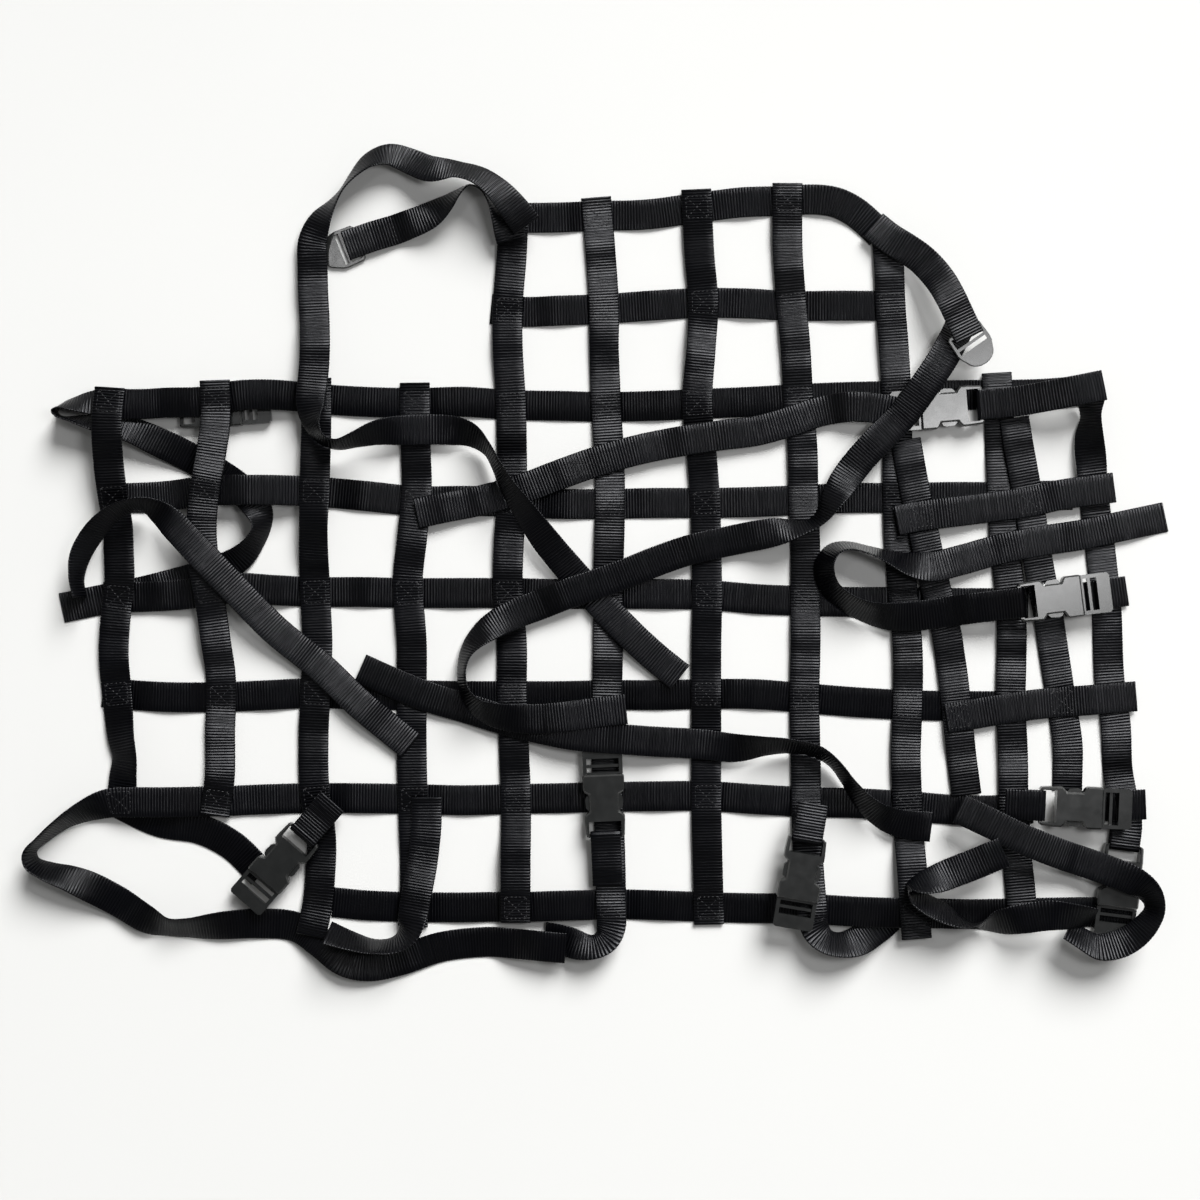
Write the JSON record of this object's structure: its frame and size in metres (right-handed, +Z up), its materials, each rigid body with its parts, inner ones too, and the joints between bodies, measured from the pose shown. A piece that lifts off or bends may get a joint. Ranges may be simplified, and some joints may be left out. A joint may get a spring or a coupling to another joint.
{
  "type": "cargo net",
  "caption": "Flat webbing cargo net with an open square mesh, loose straps and side-release buckles, laid out slack on a flat surface.",
  "frame": {"origin": "middle of the net's footprint, on the surface it lies on", "axes": "+Z up from the surface, +X along the net's longest side"},
  "size_m": [0.9485, 0.696, 0.0373],
  "materials": {
    "webbing": "ribbed weave, low sheen",
    "plastic": "smooth, semi-gloss"
  },
  "bodies": {
    "root": {"band_1": "webbing", "bottom_cross": "webbing", "bottom_loop": "webbing", "buckle_1_plug": "plastic", "buckle_1_socket": "plastic", "buckle_2_plug": "plastic", "buckle_2_socket": "plastic", "buckle_3_plug": "plastic", "buckle_3_socket": "plastic", "buckle_4_plug": "plastic", "buckle_4_socket": "plastic", "buckle_5_plug": "plastic", "buckle_5_socket": "plastic", "buckle_6_plug": "plastic", "buckle_6_socket": "plastic", "buckle_7_plug": "plastic", "buckle_7_socket": "plastic", "buckle_8_plug": "plastic", "buckle_8_socket": "plastic", "buckle_strap_3": "webbing", "buckle_strap_4": "webbing", "buckle_strap_5": "webbing", "buckle_strap_6": "webbing", "column_1": "webbing", "column_10": "webbing", "column_11": "webbing", "column_2": "webbing", "column_3": "webbing", "column_4": "webbing", "column_5": "webbing", "column_6": "webbing", "column_7": "webbing", "column_8": "webbing", "column_9": "webbing", "down_column_4": "webbing", "flap_column_1": "webbing", "flap_column_2": "webbing", "flap_row_2": "webbing", "flap_row_3": "webbing", "flap_row_4": "webbing", "flap_row_5": "webbing", "ladder_lock_1": "plastic", "ladder_lock_2": "plastic", "long_left": "webbing", "long_middle": "webbing", "long_top_left": "webbing", "long_top_right": "webbing", "right_loop": "webbing", "row_0": "webbing", "row_0b": "webbing", "row_1": "webbing", "row_2": "webbing", "row_3": "webbing", "row_4": "webbing", "row_5": "webbing", "row_6": "webbing", "short_top_left": "webbing", "short_top_right": "webbing", "strap_under_row_5": "webbing", "tail_1": "webbing"}
  },
  "joints": []
}
